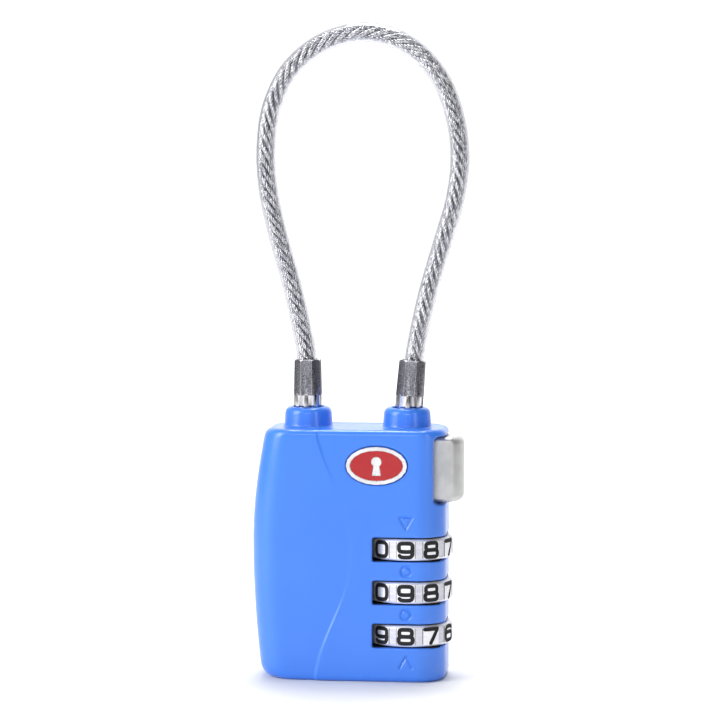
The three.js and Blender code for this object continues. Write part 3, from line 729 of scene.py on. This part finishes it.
def paint_recess_shade(obj):
    """Painted shade: the insides of the dial windows, the button's well and the key bore go dark past
    their mouths.
    """
    mesh = obj.data
    count = len(mesh.polygons)
    centre = np.empty(count * 3)
    mesh.polygons.foreach_get("center", centre)
    x, y, z = (centre.reshape(-1, 3) / MM).T
    skin = 0.06
    beside_dial = (x > SLOT_LEFT - skin) & (x < DIAL_X) & (y < 0)
    in_plan = (np.hypot(x - DIAL_X, y - DIAL_Y) < POCKET_R + skin) | beside_dial
    past_lips = (y > LIP_DEPTH - HALF_DEPTH) & ((x < RIGHT_END - LIP_DEPTH) | (y > 0))
    inside = np.zeros(count, bool)
    for middle in DIAL_Z:
        inside |= (np.abs(z - middle) < SLOT_HALF + skin) & in_plan & past_lips
    well_high = (z > WELL_Z[0] - 0.1) & (z < WELL_Z[1] + 0.1)
    inside |= (x > CHEEK_WELL_X - 0.1) & (x < NOTCH_X - 0.1) & (np.abs(y) < 4.2) & well_high
    inside |= (np.hypot(x - LATCH_X, y) < KEY_BORE_R + 0.1) & (z > 0.3) & (z < 7)
    mesh.polygons.foreach_set("material_index", inside.astype(np.int32))
    mesh.update()


casing = make_casing()
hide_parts("front_casing", "back_cover")
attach(casing, "casing")


# ---------------------------------------------------------------- dials
def digit_strokes(digit):
    """Each digit's strokes as lines through points, in a frame 2 wide and 2 high about its middle."""
    q = 0.5
    return {
        0: [arc(0, 0, 0.95, 1.0, 0, 360, 29, q)],
        1: [[(-0.5, 0.6), (0.1, 1.0), (0.1, -1.0)]],
        2: [arc(0, 0.42, 0.95, 0.58, 170, 0, 11) + [(0.75, 0.0), (-0.95, -1.0), (1.0, -1.0)]],
        3: [arc(0, 0.5, 0.9, 0.5, 160, -90, 13, q), arc(0, -0.5, 1.0, 0.5, 90, -160, 13, q)],
        4: [[(0.45, -1.0), (0.45, 1.0), (-1.0, -0.4), (1.0, -0.4)]],
        5: [[(0.85, 1.0), (-0.75, 1.0), (-0.85, 0.15)] + arc(0, -0.35, 1.0, 0.65, 140, -155, 13, q)],
        6: [arc(0, -0.4, 0.95, 0.6, 0, 360, 25, q), arc(0, 0.0, 0.95, 1.0, 180, 35, 13, q)],
        7: [[(-1.0, 1.0), (1.0, 1.0), (-0.1, -1.0)]],
        8: [arc(0, 0.5, 0.88, 0.5, 0, 360, 25, q), arc(0, -0.5, 0.97, 0.5, 0, 360, 25, q)],
        9: [arc(0, 0.4, 0.95, 0.6, 0, 360, 25, q), arc(0, 0.0, 0.95, 1.0, 0, -145, 13, q)],
    }[digit]


def half_round(centre, start, turns):
    """One rounded end of a stroke: a point for each turn from the start angle, in degrees."""
    return [(centre[0] + STROKE * math.cos(a), centre[1] + STROKE * math.sin(a))
            for a in (math.radians(start + t) for t in turns)]


def stroke_cutter(line):
    """A rounded stroke of the dial's lettering, as solids that stand through the rim at the front."""
    pts = [np.array((x * DIGIT_W, z * DIGIT_H)) for x, z in line]
    parts = []
    y0, y1 = -DIAL_R - 0.6, -DIAL_R + ENGRAVE
    for a, b in zip(pts, pts[1:]):
        along = (b - a) / np.linalg.norm(b - a)
        across = np.array((-along[1], along[0])) * STROKE
        start = math.degrees(math.atan2(across[1], across[0]))
        outline = half_round(a, start, range(0, 181, 30)) + half_round(b, start, range(180, 361, 30))
        parts.append(prism("stroke", outline, y0, y1))
    return parts


def joined(objects):
    """Puts the meshes of several pieces into the first one."""
    first = objects[0]
    with bpy.context.temp_override(active_object=first, selected_editable_objects=objects):
        bpy.ops.object.join()
    return first


def merged(objects):
    """The union of overlapping closed solids."""
    obj = joined(objects)
    step = obj.modifiers.new("merge", "BOOLEAN")
    step.operation, step.solver, step.use_self = "UNION", "EXACT", True
    empty = bpy.data.objects.new("empty", bpy.data.meshes.new("empty"))
    bpy.context.scene.collection.objects.link(empty)
    step.object = empty
    baked(obj)
    bpy.data.objects.remove(empty, do_unlink=True)
    return obj


RIM, FLAT, INKED = 0, 1, 2


def paint_faces(obj, index):
    """Gives all of a piece's faces one of the dial's three materials."""
    wear(obj, DIAL_SILVER, DIAL_FLAT_SHADE, INK)
    obj.data.polygons.foreach_set("material_index", [index] * len(obj.data.polygons))


def dial_ring():
    """A number ring about the origin, with 0 at the front and the digits falling to the right."""
    h, c, bore = DIAL_HEIGHT / 2, 0.32, 3.5
    rim = [(DIAL_R - c, -h), (DIAL_R, c - h), (DIAL_R, h - c), (DIAL_R - c, h)]
    ring = lathe("dial_ring", [(bore, -h), *rim, (bore, h)], (0, 0), 240)
    bevel(ring, 0.09, 2, 30)
    paint_faces(ring, RIM)
    cutters, grooves = [], []
    for k in range(10):
        # Each flat between two digits takes the painted shade.
        band = block("band", -BAND_HALF, BAND_HALF, -DIAL_R - 1, -DIAL_R + 0.1, -1.25, 1.25)
        paint_faces(band, FLAT)
        lines = [block("line", x - 0.05, x + 0.05, -DIAL_R - 1, -DIAL_R + 0.2, -1.3, 1.3)
                 for x in (-BAND_HALF, BAND_HALF)]
        for line in lines:
            paint_faces(line, INKED)
        for cutter in (band, *lines):
            move(cutter, turn_about("Z", 36 * k + 18))
        grooves += lines
        digit = merged([p for line in digit_strokes(-k % 10) for p in stroke_cutter(line)])
        move(digit, turn_about("Z", 36 * k))
        paint_faces(digit, INKED)
        cutters += [band, digit]
    combine(ring, joined(cutters), merge=0)
    combine(ring, joined(grooves), merge=0)
    shade(ring, 30)
    return ring


ring = dial_ring()
for dial_index, (middle, shown) in enumerate(zip(DIAL_Z, SHOWN), start=1):
    dial = bpy.data.objects.new(f"dial_{dial_index}", ring.data.copy())
    bpy.context.scene.collection.objects.link(dial)
    move(dial, shift(DIAL_X, DIAL_Y, middle) @ turn_about("Z", 36 * shown))
    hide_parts(f"number_dial_{dial_index}")
    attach(dial, f"dial_{dial_index}")
bpy.data.objects.remove(ring, do_unlink=True)


# ---------------------------------------------------------------- ferrules
def make_ferrule(name):
    """An eight-sided crimp over a round foot, with a hole for the cable."""
    top, foot, waist, crown_r = FERRULE_TOP, FERRULE_BASE, FERRULE_R - 0.35, 2.32
    profile = [(0, foot), (FERRULE_R - 0.2, foot), (FERRULE_R, foot + 0.2), (FERRULE_R, FLATS_Z + 0.2),
               (waist, FLATS_Z + 0.6), (waist, top - 1), (0, top - 1)]
    round_foot = lathe(name, profile, (0, 0), 64)
    wide, narrow = (r / math.cos(math.pi / 8) for r in (FERRULE_R - 0.02, FERRULE_R - 0.14))
    flats = lathe("flats", [(0, FLATS_Z), (wide, FLATS_Z), (narrow, top), (0, top)], (0, 0), 8)
    move(flats, Matrix.Rotation(math.pi / 8, 4, "Z"))
    crown = [(0, FLATS_Z - 1), (crown_r, FLATS_Z - 1), (crown_r, top - 0.5), (FERRULE_R - 0.12, top),
             (0, top)]
    combine(flats, lathe("crown", crown, (0, 0), 64), "INTERSECT")
    combine(round_foot, flats, "UNION")
    combine(round_foot, cylinder(CABLE_R + 0.12, CABLE_END - 0.3, top + 2, 0, 0, 48))
    bevel(round_foot, 0.2, 2, 25)
    shade(round_foot, 25)
    # Nickel, with a painted dark reflection on the flats and a painted highlight on the edges between
    # them.
    wear(round_foot, CHROME, NICKEL_DARK_REFLECTION, NICKEL_EDGE_HIGHLIGHT)
    for face in round_foot.data.polygons:
        turn = math.degrees(math.atan2(face.normal.y, face.normal.x)) / 45
        flat = abs(face.normal.z) < 0.1 and abs(turn - round(turn)) < 0.05
        outside = math.hypot(face.center.x, face.center.y) > (FERRULE_R - 0.4) * MM
        if outside and face.center.z > FLATS_Z * MM:
            face.material_index = 1 if flat else 2
    return round_foot


free_ferrule = make_ferrule("ferrule_free")
move(free_ferrule, shift(LATCH_X, 0, 0))
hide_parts("free_ferrule")
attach(free_ferrule, "free_end")

fixed_ferrule = make_ferrule("ferrule_fixed")
move(fixed_ferrule, shift(ANCHOR_X + ANCHOR_SHIFT, 0, FERRULE_BASE)
     @ turn_about("Y", ANCHOR_LEAN) @ shift(0, 0, -FERRULE_BASE))
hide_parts("fixed_ferrule")
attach(fixed_ferrule, "casing")


# ---------------------------------------------------------------- button
def head_ring(y):
    """The button head's outline at one depth, and how far the crown reaches out there."""
    inset = max(0.0, abs(y) - FLAT_HALF)
    swell = max(0.0, 1 - (abs(y) / FLAT_HALF) ** 2.4)
    x0, x1 = HEAD_IN + inset, HEAD_FACE + (HEAD_OUT - HEAD_FACE) * swell - inset
    z0, z1 = HEAD_Z[0] + inset, HEAD_Z[1] - inset
    r = 1.1 - inset
    return [(x, y, z) for cx, cz, start in corners_of(x0, x1, z0, z1, r)
            for x, z in arc(cx, cz, r, r, start, start + 90, 10)]


def make_button():
    """The button: a head with rounded corners and a crowned side, on the CAD node's arm."""
    depths = [-HEAD_HALF, *np.linspace(-FLAT_HALF, FLAT_HALF, 29), HEAD_HALF]
    rings = [head_ring(y) for y in depths]
    n = len(rings[0])
    faces = [tuple(range(n)), tuple(reversed(range((len(rings) - 1) * n, len(rings) * n)))]
    for k in range(len(rings) - 1):
        here, behind = k * n, (k + 1) * n
        faces += [(here + i, behind + i, behind + (i + 1) % n, here + (i + 1) % n) for i in range(n)]
    head = piece("button_head", [v for ring in rings for v in ring], faces)
    bevel(head, 0.08, 2, 30)
    combine(head, block("web", HEAD_IN - 1, HEAD_WEB, -CHEEK_HALF, CHEEK_HALF, 0, 60))
    arm = bpy.data.objects.new("button_arm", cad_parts["release_button"].data.copy())
    bpy.context.scene.collection.objects.link(arm)
    combine(arm, block("beyond", HEAD_WEB + 0.3, 30, -9, 9, 0, 60))
    combine(head, arm, "UNION")
    shade(head, 30)
    wear(head, SATIN)
    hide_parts("release_button")
    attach(head, "button")


make_button()

# ---------------------------------------------------------------- CAD nodes that stay
FINISHES = {
    "badge_plate": BADGE_SILVER, "badge_enamel": ENAMEL, "latch_pin": STEEL, "dial_spindle": STEEL,
    "lock_cylinder_sleeve": BRASS, "key_plug": BRASS, "reset_pin": BRASS, "anchor_clip": SPRING,
    "click_spring": SPRING, "latch_clip": SPRING,
    **{f"cover_rivet_{i}": SATIN for i in (1, 2, 3, 4)},
    **{f"key_wafer_{i}": BRASS for i in (1, 2, 3, 4)},
    **{f"dial_sleeve_{i}": BRASS for i in (1, 2, 3)},
}
for node, finish in FINISHES.items():
    wear(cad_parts[node], finish)


LOW, HIGH = 0, 1


def coil(node, axis, moving_end, still_end):
    """A coil spring, copied from its CAD node in spring steel and left where it stands."""
    spring = bpy.data.objects.new(f"coil_{node}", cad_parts[node].data.copy())
    bpy.context.scene.collection.objects.link(spring)
    wear(spring, SPRING)
    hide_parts(node)
    low, high = node_box(node)
    middle = (low + high) / 2
    for place in (moving_end, still_end):
        point = middle.copy()
        point[axis] = (low, high)[place][axis]
    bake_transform(spring)


coil("button_spring", 0, HIGH, LOW)
coil("spindle_spring", 2, HIGH, LOW)
coil("reset_spring", 2, LOW, HIGH)


# ---------------------------------------------------------------- stage and light
def make_stage(reach=3000, behind=350, curve=250, top=1500):
    """A pale floor that sweeps up into a backdrop behind the lock."""
    line = [(-reach, 0), (behind, 0)]
    line += [(behind + curve * math.sin(t), curve * (1 - math.cos(t)))
             for t in np.linspace(0, math.pi / 2, 25)[1:]]
    line += [(behind + curve, top)]
    verts = [(x, y, z) for y, z in line for x in (-reach, reach)]
    faces = [(2 * k, 2 * k + 1, 2 * k + 3, 2 * k + 2) for k in range(len(line) - 1)]
    floor = piece("floor", verts, faces)
    wear(floor, paint_floor())


def soft_light(name, place, aim, width, height, power):
    """A rectangular lamp; lengths in millimetres, power in watts."""
    data = bpy.data.lights.new(name, "AREA")
    data.shape, data.size, data.size_y, data.energy = "RECTANGLE", width * MM, height * MM, power
    light = bpy.data.objects.new(name, data)
    light.location = Vector(place) * MM
    light.rotation_euler = (Vector(aim) - Vector(place)).to_track_quat("-Z", "Y").to_euler()
    bpy.context.scene.collection.objects.link(light)


make_stage()
soft_light("key_left", (-420, -260, 260), (0, 0, 45), 260, 420, 2.15)
soft_light("front_fill", (40, -760, 280), (0, 0, 45), 420, 200, 1.0)
soft_light("rim_right", (430, -400, 200), (0, 0, 40), 110, 460, 0.55)
soft_light("top", (0, 120, 500), (0, 20, 0), 240, 240, 2.4)
soft_light("backdrop_wash", (0, 250, 500), (0, 600, 400), 900, 300, 2.6)


def make_world():
    """A dim studio, lighter on the left and dark on the right."""
    world = bpy.data.worlds.new("studio")
    bpy.context.scene.world = world
    world.use_nodes = True
    nodes, links = world.node_tree.nodes, world.node_tree.links
    where = nodes.new("ShaderNodeTexCoord")
    parts = nodes.new("ShaderNodeSeparateXYZ")
    links.new(where.outputs["Generated"], parts.inputs["Vector"])
    shade_to_right = nodes.new("ShaderNodeMapRange")
    shade_to_right.inputs["From Min"].default_value = -0.8
    shade_to_right.inputs["From Max"].default_value = 0.6
    shade_to_right.inputs["To Min"].default_value = 0.5
    shade_to_right.inputs["To Max"].default_value = 0.07
    links.new(parts.outputs["X"], shade_to_right.inputs["Value"])
    sky = nodes["Background"]
    sky.inputs["Color"].default_value = (1, 1, 1, 1)
    links.new(shade_to_right.outputs["Result"], sky.inputs["Strength"])


make_world()
bpy.context.scene.view_settings.view_transform = "Standard"
